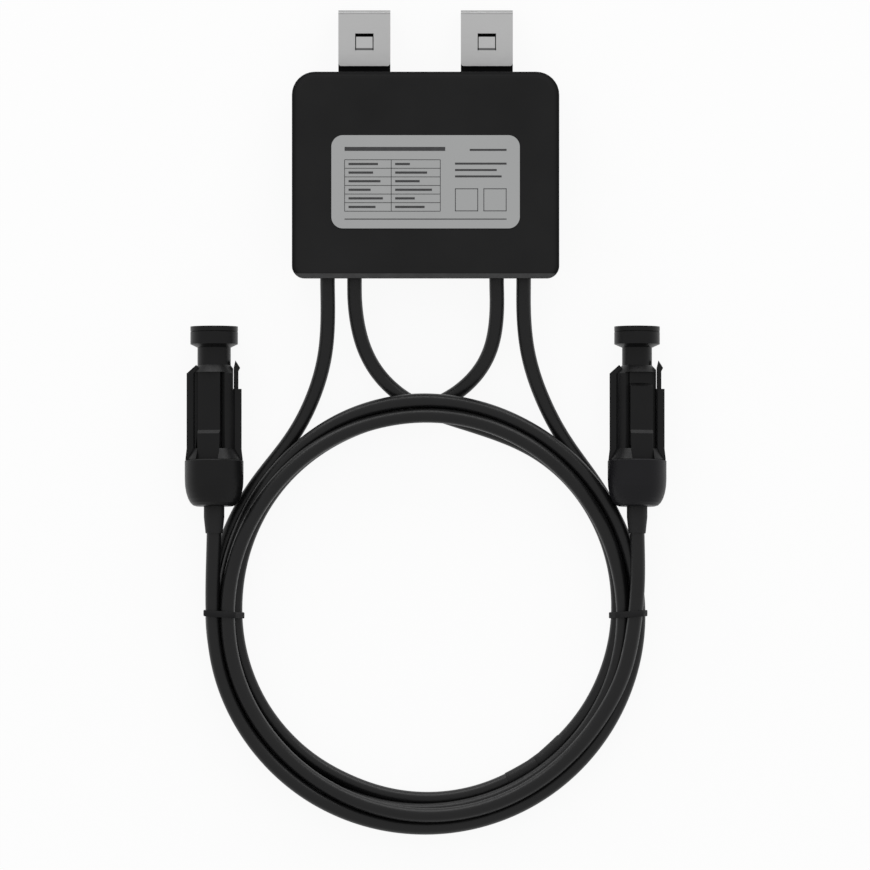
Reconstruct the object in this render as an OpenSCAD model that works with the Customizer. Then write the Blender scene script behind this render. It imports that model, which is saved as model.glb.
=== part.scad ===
// Power optimizer for one solar module, lying on its back.
// +Z points out of the label face, +Y towards the two frame clips, and the origin is on the floor
// under the middle of the housing and its clips.

/* [Housing] */
// Width of the housing
body_w = 109; // [104:1:130]
// Height of the housing, from the cable side to the clip side
body_h = 84.2; // [80:0.2:100]
// Thickness of the front shell without the rear cover
shell_t = 21; // [20:0.5:30]
// Thickness of the rear cover's plate
cover_t = 3; // [2.6:0.1:5]
// Wall thickness of the front shell
wall = 2.4; // [2:0.1:3]
// Radius of the two corners beside the clips
corner_top_r = 9.4; // [7:0.2:12]
// Radius of the two corners beside the cables
corner_low_r = 5; // [4:0.2:8]
// Radius of the soft edge around the front
edge_r = 2.5; // [1:0.1:3.4]
// Bevel along the front edge on the cable side
low_bevel = 2; // [2:0.1:3]
// Height of the rest pads behind the rear cover
pad_h = 3.7; // [3.4:0.1:6]
// Radius of a rest pad
pad_r = 6; // [4:0.5:8]
// Radius of a screw boss in the front shell
boss_r = 3.4; // [3:0.1:4]
// Distance of the cable-side screws from the housing's sides
screw_inset = 6.9; // [6.4:0.1:8]
// Radius of a cover screw's shank
screw_r = 1.4; // [1.2:0.1:1.8]
// Radius of a cover screw's head
screw_head_r = 2.8; // [2.4:0.1:3.2]
// Height of a cover screw's head
screw_head_h = 1.6; // [1.2:0.1:2]

/* [Label] */
// Width of the label plate
label_w = 76.8; // [50:0.2:84]
// Height of the label plate
label_h = 38; // [24:0.5:52]
// Corner radius of the label plate
label_r = 4.7; // [2:0.1:8]
// Thickness of the label plate
label_t = 0.6; // [0.4:0.1:1]
// Depth of the label's recess in the front
label_recess = 0.4; // [0.2:0.1:0.8]
// Distance of the label's middle below the housing's middle
label_drop = 2.8; // [0:0.2:6]

/* [Clips] */
// Width of a clip and of the moulded lug that carries it
clip_w = 21.2; // [16:0.2:28]
// Distance between the two clips' middles
clip_pitch = 50; // [40:0.5:60]
// Thickness of the clips' sheet
clip_t = 1.2; // [0.8:0.1:1.4]
// Inner radius of the clips' bends
bend_r = 0.5; // [0.4:0.1:2]
// Rise of the clips' fold above the housing
clip_rise = 25.2; // [24:0.2:32]
// Length of the front leaf, from the fold down
leaf_l = 22.7; // [20:0.1:23.6]
// Thickness of the moulded lug between the leaves
lug_t = 6; // [5:0.2:9]
// Width of the punched window
window_w = 7.5; // [5:0.1:12]
// Height of the punched window
window_h = 6.8; // [5:0.1:8]
// Distance of the window's middle below the fold
window_drop = 12.8; // [11:0.1:14]
// Gap between the tongue's tip and the window
tongue_gap = 1.35; // [0.8:0.05:2]
// Slit on each side of the tongue
tongue_slit = 0.4; // [0.3:0.05:0.8]
// Angle that the tongue is pressed in
tongue_tilt = 4; // [2:1:12]
// Length of the spring leaf behind the housing
spring_l = 30; // [26:1:36]
// Height of the spring leaf's crest
spring_crest = 1.3; // [0.8:0.1:1.5]

/* [Board] */
// Thickness of the circuit board
board_t = 1.6; // [1:0.1:2.4]
// Thickness of the heat spreader on the rear cover
spreader_t = 2; // [1.8:0.1:3]
// Thickness of the thermal pad between spreader and board
thermal_t = 0.3; // [0.2:0.1:1]
// Width of the inductor's ferrite core
core_w = 28; // [24:1:32]
// Depth of the inductor's ferrite core
core_d = 26; // [22:1:26]
// Height of the inductor's ferrite core
core_h = 13; // [10:0.5:13.5]
// Radius of an output capacitor's can
can_r = 5; // [4:0.2:5.2]
// Height of an output capacitor's can
can_h = 12.5; // [8:0.5:13.5]

/* [Cables] */
// Diameter of a cable
cable_d = 6; // [5:0.1:6.4]
// Distance of the outer leads from the housing's sides
lead_inset = 14.5; // [13:0.5:16]
// Distance between the two leads on one side
lead_pitch = 11; // [10:0.5:14]
// Height of the leads' axes above the floor where they leave the housing
lead_z = 14; // [13.6:0.1:17]
// Radius of a grommet's neck in the bottom wall
grommet_r = 4.4; // [4:0.1:4.6]
// Outer radius of the coil
coil_r = 89.2; // [80:0.2:92]
// Radial width of the coil
coil_w = 14.3; // [10:0.1:18]
// Height of the coil
coil_h = 13; // [8:0.5:16]
// Distance of the coil's middle below the part's middle
coil_drop = 191.8; // [180:0.2:210]
// Width of a tie's band
tie_w = 2.5; // [1.5:0.1:5]
// Thickness of a tie's band
tie_t = 0.8; // [0.5:0.1:1.5]

/* [Connectors] */
// Distance of a connector's axis from the middle
connector_x = 86.3; // [86:0.1:92]
// Distance of the gland nut's rear below the part's middle
connector_drop = 147.7; // [140:0.1:149]
// Largest radius of the gland nut
nut_r = 12; // [11.6:0.1:14]
// Radius of the threaded spigot inside the gland nut
spigot_r = 8.9; // [8.4:0.1:9.1]
// Radius of the connector's barrel
barrel_r = 9.4; // [9.2:0.1:10.5]
// Radius of the left connector's neck
neck_left_r = 6.8; // [6:0.1:7.2]
// Radius of the right connector's neck
neck_right_r = 6.1; // [6:0.1:7.2]
// Radius of the collar at the left connector's tip
collar_left_r = 9.7; // [8:0.1:11]
// Radius of the collar at the right connector's tip
collar_right_r = 9.3; // [8:0.1:11]
// Height of the collar at the tip
collar_h = 7.2; // [4:0.1:8]
// Reach of the side rails from the axis
rail_reach = 11.2; // [11:0.1:11.8]
// Width of the side rails
rail_w = 8; // [5:0.5:10]
// Radius of the contacts' mating pin and socket
contact_r = 2; // [1.4:0.05:2.2]
// Turn of the left connector's front panel about the axis
panel_turn_left = -16; // [-20:1:20]
// Turn of the right connector's front panel about the axis
panel_turn_right = 14; // [-20:1:20]

/* [Hidden] */
$fn = 48;

// Small overlap that lets a cut run through a face
cut = 0.5;
// Straight steps in a corner of the shell's outline
arc_steps = 8;
// Clearance of a screw, a contact or a gasket in its seat
fit_gap = 0.05;
// Clearance of a moulded part round the piece in it
slip_gap = 0.1;
// Clearance of a loose piece that lies beside another
loose_gap = 0.3;

// Places along Y and Z that the pieces share
y_low = -(body_h + clip_rise) / 2;
y_top = y_low + body_h;
y_mid = (y_low + y_top) / 2;
y_fold = y_top + clip_rise;
z_cover = pad_h;
z_rim = z_cover + cover_t;
z_front = z_rim + shell_t;
z_ceiling = z_front - wall;
z_board = z_rim + spreader_t + thermal_t;
z_parts = z_board + board_t;
z_leaf = z_cover + lug_t;

// Places of the rest pads behind the rear cover
pad_inset = 16;
pad_low_rise = 13;
pad_top_drop = 17;
pad_places = [
  for (sx = [-1, 1])
    for (y = [y_low + pad_low_rise, y_top - pad_top_drop])
      [sx * (body_w / 2 - pad_inset), y]
];

// The cover's gasket runs under the middle of the shell's wall
gasket_w = wall / 2;
gasket_inset = wall / 4;
gasket_t = 1.2;

// Corner screws of the cover and of the board: the cable-side bosses stand clear of the grommets
grommet_flange_r = lead_pitch / 2 - loose_gap;
grommet_flange_t = 1.5;
screw_rise = wall + grommet_flange_t + boss_r + loose_gap;
screw_places = [
  [-body_w / 2 + corner_top_r, y_top - corner_top_r], [body_w / 2 - corner_top_r, y_top - corner_top_r],
  [-body_w / 2 + screw_inset, y_low + screw_rise], [body_w / 2 - screw_inset, y_low + screw_rise]
];
screw_l = 9;
screw_end_gap = 1;
board_gap = 1.2;
board_rise = 4.8;
board_half_w = body_w / 2 - max(screw_inset, corner_top_r - boss_r) - boss_r - board_gap;
board_low = y_low + wall + board_rise;
board_high = y_top - corner_top_r - boss_r - board_gap;
board_mid = (board_low + board_high) / 2;
post_r = 2.8;
post_inset = 4.5;
post_rise = 16;
board_screw_r = 1.25;
board_screw_head_r = 2.4;
board_screw_head_h = 1.4;
board_screw_l = 8;
post_places = [
  for (sx = [-1, 1])
    for (y = [board_low + post_rise, board_high - post_inset])
      [sx * (board_half_w - post_inset), y]
];

// Sizes inside the inductor's core
core_plate_t = 2.6;
core_middle_r = 5.5;
core_leg_t = 3;
core_window_r = core_w / 2 - core_leg_t;
core_window_h = core_h - 2 * core_plate_t;

// Places of the parts on the board, from the board's middle
core_place = [0, 9.5];
film_size = [8, 18, 12];
film_places = [[-20.5, 4.7], [-30, 4.7]];
can_places = [[21, 12.5], [32, 12.5]];
transistor_size = [10.2, 9, 4.4];
transistor_places = [[-24, -15], [-8, -15], [8, -15], [24, -15]];
diode_place = [26, -2];
chip_size = [9, 9, 1.2];
chip_place = [-22, 23];
spreader_size = [62, 20];
spreader_place = [0, -15];

// Cable ends: each lead stops at its crimp terminal on the board
terminal_rise = 7.7;
terminal_y = y_low + terminal_rise;
terminal_l = 8;
terminal_r = 2.4;
lead_outer = body_w / 2 - lead_inset;
lead_inner = lead_outer - lead_pitch;
lead_places = [-lead_outer, -lead_inner, lead_inner, lead_outer];

// Routes of the leads from their terminals to the coil, drawn for the sizes above
route_outer_left = [
  [-40, -47, 14], [-40, -58, 14], [-40, -68, 13], [-40.4, -80, 10.5],
  [-42.4, -92.4, 7.5], [-46.8, -103.5, 5.2], [-51, -114.6, 4]
];
route_inner_left = [
  [-29, -47, 14], [-29, -58, 14], [-28.6, -68, 12.5], [-26.6, -80, 8.5],
  [-21.8, -91.4, 4.8], [-13.5, -100.2, 3.1]
];
route_inner_right = [
  [29, -47, 14], [29, -58, 14], [29, -70, 12.2], [27.7, -82, 8],
  [23.2, -91.6, 4.8], [14.2, -100.3, 3.1]
];
route_outer_right = [
  [40, -47, 14], [40, -58, 14], [40, -68, 13.2], [40.6, -80, 11.5],
  [43.4, -92.4, 9.5], [47.8, -103.5, 8], [53.6, -116.2, 7]
];

// Sizes along a connector's axis, from the gland nut's rear
nut_round_l = 11;
nut_round_w = 4.6;
nut_end = 18.9;
foot_end = 23.4;
spigot_start = 9.5;
bush_end = 17;
bore_end = 18;
crimp_start = 20;
rail_end = 47.8;
barrel_end = 54.1;
neck_start = 57.6;
mating_start = 60;
contact_end = 70;
collar_end = 73.4;
barb_tip = 59.5;
sleeve_l = 11;
tail_end = 12;
bush_r = 5.1;
cage_r = 7.4;
cage_wall = 2.1;
contact_wall = 1;
contact_front = 31;
mating_l = 12;
mating_r = 4.9;
flat_depth = 8.3;
flat_w = 9.4;
groove_w = 1.8;
groove_depth = 3.5;
ledge_t = 29.5;
ledge_depth = 0.7;
ledge_slope = 1.4;
foot_r = nut_r - 0.3;
foot_start = nut_end + slip_gap;
panel_step_t = 48.7;
panel_step_depth = 2.2;

// The nut's and the collar's front rims both touch the floor
function collar_r(side) = side < 0 ? collar_left_r : collar_right_r;
function connector_pitch(side) = atan((nut_r - collar_r(side)) / (collar_end - nut_end));
function connector_z(side) =
  nut_end * sin(connector_pitch(side)) + nut_r * cos(connector_pitch(side)) + fit_gap;

// A rectangle in plan with its own radius at the low and at the high corners
module rounded_2d(half_w, low, high, r_low, r_high) {
  translate([-half_w, low + r_low]) square([2 * half_w, high - low - r_low - r_high]);
  translate([-half_w + r_low, low]) square([2 * (half_w - r_low), r_low + 0.01]);
  translate([-half_w + r_high, high - r_high - 0.01]) square([2 * (half_w - r_high), r_high + 0.01]);
  for (s = [-1, 1]) {
    translate([s * (half_w - r_low), low + r_low]) circle(r_low);
    translate([s * (half_w - r_high), high - r_high]) circle(r_high);
  }
}

// The housing's outline in plan, drawn in by a distance
module housing_2d(inset = 0) {
  rounded_2d(body_w / 2 - inset, y_low + inset, y_top - inset, corner_low_r - inset, corner_top_r - inset);
}

// The label's outline in plan, grown by a distance
module label_2d(grow = 0) {
  mid = y_mid - label_drop;
  half_h = label_h / 2 + grow;
  r = label_r + grow;
  rounded_2d(label_w / 2 + grow, mid - half_h, mid + half_h, r, r);
}

// A closed solid through rings of points that each run clockwise, seen against the rings' order
module skin(rings) {
  n = len(rings[0]);
  last = len(rings) - 1;
  polyhedron(
    points = [for (r = rings) each r],
    faces = concat(
      [[for (k = [n - 1:-1:0]) k]],
      [[for (k = [0:n - 1]) last * n + k]],
      [for (i = [0:last - 1]) for (k = [0:n - 1])
        [i * n + k, i * n + (k + 1) % n, (i + 1) * n + (k + 1) % n, (i + 1) * n + k]]
    )
  );
}

// Points of one corner of the housing, turning clockwise from an angle
function corner_points(x, y, r, from) =
  [for (k = [0:arc_steps]) let (a = from - 90 * k / arc_steps) [x + r * cos(a), y + r * sin(a)]];

// The housing's outline in plan as points, drawn in by a distance
function housing_points(inset) =
  let (w = body_w / 2, low_r = corner_low_r - inset, top_r = corner_top_r - inset)
    concat(
      corner_points(w - corner_low_r, y_low + corner_low_r, low_r, 0),
      corner_points(-w + corner_low_r, y_low + corner_low_r, low_r, -90),
      corner_points(-w + corner_top_r, y_top - corner_top_r, top_r, 180),
      corner_points(w - corner_top_r, y_top - corner_top_r, top_r, 90)
    );

function housing_ring(inset, z) = [for (p = housing_points(inset)) [p[0], p[1], z]];

// The shell's outer form, with a quarter-round edge about its front
module shell_form() {
  steps = 5;
  skin(concat(
    [housing_ring(0, z_rim)],
    [for (k = [0:steps]) let (a = 90 * k / steps)
      housing_ring(edge_r * (1 - cos(a)), z_front - edge_r * (1 - sin(a)))]
  ));
}

module at_each(places) {
  for (p = places) translate([p[0], p[1], 0]) children();
}

// A bore along Y in the bottom wall
module lead_bore(x, r) {
  translate([x, y_low - cut, lead_z]) rotate([-90, 0, 0]) cylinder(r = r, h = wall + 2 * cut);
}

// The wedge that bevels the front edge on the cable side
module low_bevel_cut() {
  translate([-body_w / 2 - cut, 0, 0]) rotate([90, 0, 90]) linear_extrude(body_w + 2 * cut) polygon([
    [y_low - cut, z_front - low_bevel - cut], [y_low + low_bevel + cut, z_front + cut],
    [y_low - cut, z_front + cut]
  ]);
}

module front_shell() {
  color([0.15, 0.15, 0.15])
  difference() {
    union() {
      difference() {
        shell_form();
        translate([0, 0, z_rim - cut]) linear_extrude(z_ceiling - z_rim + cut) housing_2d(wall);
      }
      at_each(screw_places) translate([0, 0, z_rim]) cylinder(r = boss_r, h = z_ceiling - z_rim + cut);
      at_each(post_places) translate([0, 0, z_parts]) cylinder(r = post_r, h = z_ceiling - z_parts + cut);
    }
    translate([0, 0, z_front - label_recess]) linear_extrude(label_recess + cut) label_2d(slip_gap);
    at_each(screw_places) translate([0, 0, z_rim - cut]) cylinder(r = screw_r + fit_gap, h = screw_l + cut);
    at_each(post_places)
      translate([0, 0, z_parts - cut]) cylinder(r = board_screw_r + fit_gap, h = board_screw_l + cut);
    for (x = lead_places) lead_bore(x, grommet_r + fit_gap);
    low_bevel_cut();
  }
}

// The lug that a clip's front leaf is locked on, with a pocket for the clip's tongue
module clip_lug(x) {
  reach = clip_rise - clip_t - bend_r;
  root = 1;
  pocket_depth = 2;
  pocket_low = y_fold - window_drop - window_h / 2;
  translate([x - clip_w / 2, y_top - root, z_cover]) cube([clip_w, 2 * root, cover_t]);
  difference() {
    translate([x - clip_w / 2, y_top, z_cover]) cube([clip_w, reach, lug_t]);
    translate([x - window_w / 2, pocket_low, z_leaf - pocket_depth])
      cube([window_w, window_h, pocket_depth + cut]);
  }
}

module rear_cover() {
  color([0.13, 0.13, 0.13])
  difference() {
    union() {
      translate([0, 0, z_cover]) linear_extrude(cover_t) housing_2d();
      at_each(pad_places) cylinder(r = pad_r, h = pad_h + cut);
      for (sx = [-1, 1]) clip_lug(sx * clip_pitch / 2);
    }
    translate([0, 0, z_rim - gasket_t]) linear_extrude(gasket_t + cut) difference() {
      housing_2d(gasket_inset - fit_gap);
      housing_2d(gasket_inset + gasket_w + fit_gap);
    }
    at_each(screw_places) {
      translate([0, 0, z_cover - cut]) cylinder(r = screw_r + slip_gap, h = cover_t + 2 * cut);
      translate([0, 0, z_cover - cut]) cylinder(r = screw_head_r + slip_gap, h = screw_head_h + cut);
    }
  }
}

module cover_gasket() {
  color([0.25, 0.25, 0.27])
  translate([0, 0, z_rim - gasket_t]) linear_extrude(gasket_t) difference() {
    housing_2d(gasket_inset);
    housing_2d(gasket_inset + gasket_w);
  }
}

// A screw standing on its head, with a hexagon socket
module screw(shank_r, shank_l, head_r, head_h) {
  difference() {
    union() {
      cylinder(r = head_r, h = head_h);
      cylinder(r = shank_r, h = head_h + shank_l);
    }
    translate([0, 0, -cut]) cylinder(r = head_r / 2, h = head_h / 2 + cut, $fn = 6);
  }
}

module cover_screws() {
  shank_l = screw_l + cover_t - screw_head_h - screw_end_gap;
  color([0.7, 0.7, 0.72])
  at_each(screw_places) translate([0, 0, z_cover]) screw(screw_r, shank_l, screw_head_r, screw_head_h);
}

module label_plate() {
  color([0.66, 0.67, 0.68])
  translate([0, 0, z_front - label_recess]) linear_extrude(label_t) label_2d();
}

// A clip's section through its folded sheet, with Y along the sheet and Z up
module clip_section_2d() {
  outer = bend_r + clip_t;
  leaf_low = y_fold - leaf_l;
  translate([leaf_low, z_leaf]) square([leaf_l - outer, clip_t]);
  translate([y_fold - clip_t, outer]) square([clip_t, z_leaf + clip_t - 2 * outer]);
  for (corner = [[z_leaf + clip_t - outer, 0], [outer, 1]])
    translate([y_fold - outer, corner[0]]) mirror([0, corner[1]]) difference() {
      intersection() {
        circle(outer);
        square(outer);
      }
      circle(bend_r);
    }
  spring = [
    [y_fold - outer, 0], [y_fold - spring_l / 3, 0],
    [y_fold - spring_l * 0.8, spring_crest], [y_fold - spring_l, 0]
  ];
  polygon(concat(spring, [for (k = [len(spring) - 1:-1:0]) spring[k] + [0, clip_t]]));
}

// Cuts the two free corners of a clip's front leaf round
module leaf_corners(r) {
  for (s = [0, 1]) mirror([s, 0, 0])
    translate([clip_w / 2 - r, y_fold - leaf_l + r, z_leaf - cut / 2]) difference() {
      translate([0, -r - cut, 0]) cube([r + cut, r + cut, clip_t + cut]);
      translate([0, 0, -cut]) cylinder(r = r, h = clip_t + 3 * cut);
    }
}

module clip(x) {
  window_low = y_fold - window_drop - window_h / 2;
  tongue_w = window_w - 2 * tongue_slit;
  tongue_l = window_h - tongue_gap;
  corner_r = 1.2;
  crease_w = 0.4;
  crease_depth = 0.8;
  color([0.72, 0.72, 0.72])
  translate([x, 0, 0]) {
    difference() {
      translate([-clip_w / 2, 0, 0]) rotate([90, 0, 90]) linear_extrude(clip_w) clip_section_2d();
      translate([-window_w / 2, window_low, z_leaf - cut / 2]) cube([window_w, window_h, clip_t + cut]);
      leaf_corners(corner_r);
      translate([-window_w / 2, window_low - crease_w, z_leaf + clip_t - crease_depth])
        cube([window_w, crease_w, clip_t]);
    }
    difference() {
      translate([-tongue_w / 2, window_low, z_leaf + clip_t]) rotate([-tongue_tilt, 0, 0])
        translate([0, -cut, -clip_t]) cube([tongue_w, tongue_l + cut, clip_t]);
      translate([-tongue_w, window_low - 2 * cut, z_leaf + clip_t]) cube([2 * tongue_w, tongue_l, clip_t]);
      translate([-tongue_w, window_low - 2 * cut, z_leaf - clip_t]) cube([2 * tongue_w, 2 * cut, clip_t]);
    }
  }
}

module clip_left() {
  clip(-clip_pitch / 2);
}

module clip_right() {
  clip(clip_pitch / 2);
}

module circuit_board() {
  color([0.05, 0.3, 0.16])
  difference() {
    translate([-board_half_w, board_low, z_board])
      cube([2 * board_half_w, board_high - board_low, board_t]);
    at_each(post_places) translate([0, 0, z_board - cut])
      cylinder(r = board_screw_r + slip_gap, h = board_t + 2 * cut);
  }
}

module board_screws() {
  shank_l = board_t + board_screw_l - screw_end_gap;
  color([0.7, 0.7, 0.72])
  at_each(post_places) translate([0, 0, z_board - board_screw_head_h])
    screw(board_screw_r, shank_l, board_screw_head_r, board_screw_head_h);
}

// Puts a part on the board's front at a place from the board's middle
module on_board(place) {
  translate([place[0], board_mid + place[1], z_parts]) children();
}

// A pot core: two plates, a round middle post and two side legs round an annular window
module inductor_core() {
  opening_half = core_window_r * 0.7;
  color([0.2, 0.2, 0.21])
  on_board(core_place) difference() {
    translate([-core_w / 2, -core_d / 2, 0]) cube([core_w, core_d, core_h]);
    translate([0, 0, core_plate_t]) difference() {
      union() {
        cylinder(r = core_window_r, h = core_window_h);
        translate([-opening_half, -core_d, 0]) cube([2 * opening_half, 2 * core_d, core_window_h]);
      }
      translate([0, 0, -cut]) cylinder(r = core_middle_r, h = core_h);
    }
  }
}

module inductor_winding() {
  color([0.72, 0.4, 0.2])
  on_board(core_place) translate([0, 0, core_plate_t]) difference() {
    cylinder(r = core_window_r - loose_gap, h = core_window_h);
    translate([0, 0, -cut]) cylinder(r = core_middle_r + loose_gap, h = core_h);
  }
}

module input_capacitors() {
  rim = 0.8;
  color([0.75, 0.7, 0.2])
  for (p = film_places) on_board(p) difference() {
    translate([-film_size[0] / 2, -film_size[1] / 2, 0]) cube(film_size);
    translate([-film_size[0] / 2 + rim, -film_size[1] / 2 + rim, -cut])
      cube([film_size[0] - 2 * rim, film_size[1] - 2 * rim, rim + cut]);
  }
}

module output_capacitors() {
  crimp_z = 2.2;
  crimp_h = 0.8;
  color([0.2, 0.22, 0.3])
  for (p = can_places) on_board(p) rotate_extrude() polygon([
    [0, 0], [can_r, 0], [can_r, crimp_z], [can_r - crimp_h / 2, crimp_z + crimp_h / 2],
    [can_r, crimp_z + crimp_h], [can_r, can_h - crimp_h], [can_r - crimp_h, can_h], [0, can_h]
  ]);
}

// A flat power package with its cooling tab
module power_package() {
  tab_t = 1.3;
  tab_reach = 1.6;
  tab_w = transistor_size[0] - 2;
  color([0.1, 0.1, 0.1])
  translate([-transistor_size[0] / 2, -transistor_size[1] / 2, 0]) cube(transistor_size);
  color([0.75, 0.75, 0.75])
  translate([-tab_w / 2, transistor_size[1] / 2 - cut, 0]) cube([tab_w, tab_reach + cut, tab_t]);
}

module power_transistors() {
  for (p = transistor_places) on_board(p) power_package();
}

module bypass_diode() {
  on_board(diode_place) power_package();
}

module control_chip() {
  mark_r = 0.6;
  mark_inset = 1.5;
  mark_depth = 0.2;
  color([0.08, 0.08, 0.08])
  on_board(chip_place) difference() {
    translate([-chip_size[0] / 2, -chip_size[1] / 2, 0]) cube(chip_size);
    translate([mark_inset - chip_size[0] / 2, chip_size[1] / 2 - mark_inset, chip_size[2] - mark_depth])
      cylinder(r = mark_r, h = mark_depth + cut);
  }
}

// A plate under the power packages, between the rear cover and the board
module cooling_plate(z, t) {
  left = spreader_place[0] - spreader_size[0] / 2;
  low = board_mid + spreader_place[1] - spreader_size[1] / 2;
  translate([left, low, z]) cube([spreader_size[0], spreader_size[1], t]);
}

module heat_spreader() {
  color([0.8, 0.8, 0.82]) cooling_plate(z_rim, spreader_t);
}

module thermal_pad() {
  color([0.6, 0.62, 0.7]) cooling_plate(z_rim + spreader_t, thermal_t);
}

// Crimp barrels on solder feet, one for each lead
module cable_terminals() {
  foot_w = 4.4;
  color([0.78, 0.74, 0.66])
  for (x = lead_places) {
    translate([x, terminal_y, lead_z]) rotate([-90, 0, 0]) cylinder(r = terminal_r, h = terminal_l);
    translate([x - foot_w / 2, max(terminal_y, board_low), z_parts])
      cube([foot_w, terminal_l - max(0, board_low - terminal_y), lead_z - z_parts]);
  }
}

// A flanged rubber grommet, flush with the bottom wall's outside
module grommet(x) {
  color([0.1, 0.1, 0.1])
  translate([x, y_low, lead_z]) rotate([-90, 0, 0]) difference() {
    union() {
      cylinder(r = grommet_r, h = wall + grommet_flange_t);
      translate([0, 0, wall]) cylinder(r = grommet_flange_r, h = grommet_flange_t);
    }
    translate([0, 0, -cut]) cylinder(r = cable_d / 2 + slip_gap, h = wall + grommet_flange_t + 2 * cut);
  }
}

module grommet_outer_left() {
  grommet(-lead_outer);
}

module grommet_inner_left() {
  grommet(-lead_inner);
}

module grommet_inner_right() {
  grommet(lead_inner);
}

module grommet_outer_right() {
  grommet(lead_outer);
}

function unit(v) = v / norm(v);

// Direction of a route at one of its points
function heading(route, i) = unit(route[min(i + 1, len(route) - 1)] - route[max(i - 1, 0)]);

// One ring of points round a route, square to its heading
function ring(route, i, r, sides) =
  let (along = heading(route, i), side = unit(cross(along, [0, 0, 1])), up = cross(side, along))
    [for (k = [0:sides - 1]) route[i] + r * (cos(360 * k / sides) * side + sin(360 * k / sides) * up)];

// A route moved so that it starts at a lead's exit, with the move fading out towards the coil
function tied_route(route, x) =
  let (n = len(route) - 1, move = [x, terminal_y, lead_z] - route[0])
    [for (i = [0:n]) route[i] + move * min(1, (n - i) / (n - 1))];

// A cable swept along a route
module cable(route) {
  sides = 10;
  color([0.09, 0.09, 0.1]) skin([for (i = [0:len(route) - 1]) ring(route, i, cable_d / 2, sides)]);
}

module lead_outer_left() {
  cable(tied_route(route_outer_left, -lead_outer));
}

module lead_inner_left() {
  cable(tied_route(route_inner_left, -lead_inner));
}

module lead_inner_right() {
  cable(tied_route(route_inner_right, lead_inner));
}

module lead_outer_right() {
  cable(tied_route(route_outer_right, lead_outer));
}

// The wound leads as one ring, lifted by the ties' bands
module cable_coil() {
  low = tie_t + slip_gap;
  round_r = cable_d / 2;
  color([0.09, 0.09, 0.1])
  translate([0, -coil_drop, 0]) rotate_extrude($fn = 96) translate([coil_r - coil_w / 2, 0])
    rounded_2d(coil_w / 2, low, low + coil_h, round_r, round_r);
}

// A band round the coil's section
module tie(side) {
  inner_w = coil_w + 2 * slip_gap;
  inner_h = coil_h + 2 * slip_gap;
  round_r = cable_d / 2;
  color([0.06, 0.06, 0.06])
  translate([side * (coil_r - coil_w / 2), -coil_drop + tie_w / 2, 0]) rotate([90, 0, 0])
    linear_extrude(tie_w) difference() {
      rounded_2d(inner_w / 2 + tie_t, 0, inner_h + 2 * tie_t, round_r + tie_t, round_r + tie_t);
      rounded_2d(inner_w / 2, tie_t, inner_h + tie_t, round_r, round_r);
    }
}

module tie_left() {
  tie(-1);
}

module tie_right() {
  tie(1);
}

// Lays a connector on the floor: its axis runs along +Z before, from the gland nut's rear
module at_connector(side) {
  translate([side * connector_x, -connector_drop, connector_z(side)])
    rotate([-90 - connector_pitch(side), 0, 0]) children();
}

module tail(side) {
  color([0.09, 0.09, 0.1])
  at_connector(side) translate([0, 0, -tail_end])
    cylinder(r = cable_d / 2, h = tail_end + crimp_start, $fn = 10);
}

module tail_left() {
  tail(-1);
}

module tail_right() {
  tail(1);
}

// The nut's round form, with a cone inside that presses the clamp cage
module gland_nut(side) {
  steps = 6;
  rim = 0.4;
  thread_r = spigot_r + slip_gap;
  cone_start = 3;
  cone_end = 9;
  hole_r = bush_r - 0.7;
  color([0.1, 0.1, 0.1])
  at_connector(side) rotate_extrude() polygon(concat(
    [[hole_r, 0]],
    [for (k = [0:steps]) let (a = 90 * k / steps)
      [nut_r - nut_round_w * (1 - sin(a)), nut_round_l * (1 - cos(a))]],
    [[nut_r, nut_end - rim], [nut_r - rim, nut_end], [thread_r, nut_end], [thread_r, cone_end],
      [hole_r, cone_start]]
  ));
}

module gland_nut_left() {
  gland_nut(-1);
}

module gland_nut_right() {
  gland_nut(1);
}

// The round stem of a connector: spigot, flared foot, barrel, shoulder, neck and grooved collar
module connector_stem(side) {
  cove = 1.4;
  groove_t = collar_end - 2.1;
  groove = 0.2;
  neck_r = side < 0 ? neck_left_r : neck_right_r;
  tip_r = collar_r(side);
  rotate_extrude() polygon([
    [0, spigot_start], [spigot_r, spigot_start], [spigot_r, foot_start], [foot_r, foot_start],
    [barrel_r, foot_end],
    [barrel_r, barrel_end], [neck_r, neck_start], [neck_r, collar_end - collar_h - cove],
    [tip_r, collar_end - collar_h], [tip_r, groove_t - groove], [tip_r - groove, groove_t],
    [tip_r, groove_t + groove], [tip_r, collar_end], [0, collar_end]
  ]);
}

// Extrudes a profile of (distance from the axis, place along it) across the connector
module rail_form(w, profile) {
  translate([0, w / 2, 0]) rotate([90, 0, 0]) linear_extrude(w) polygon(profile);
}

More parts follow.
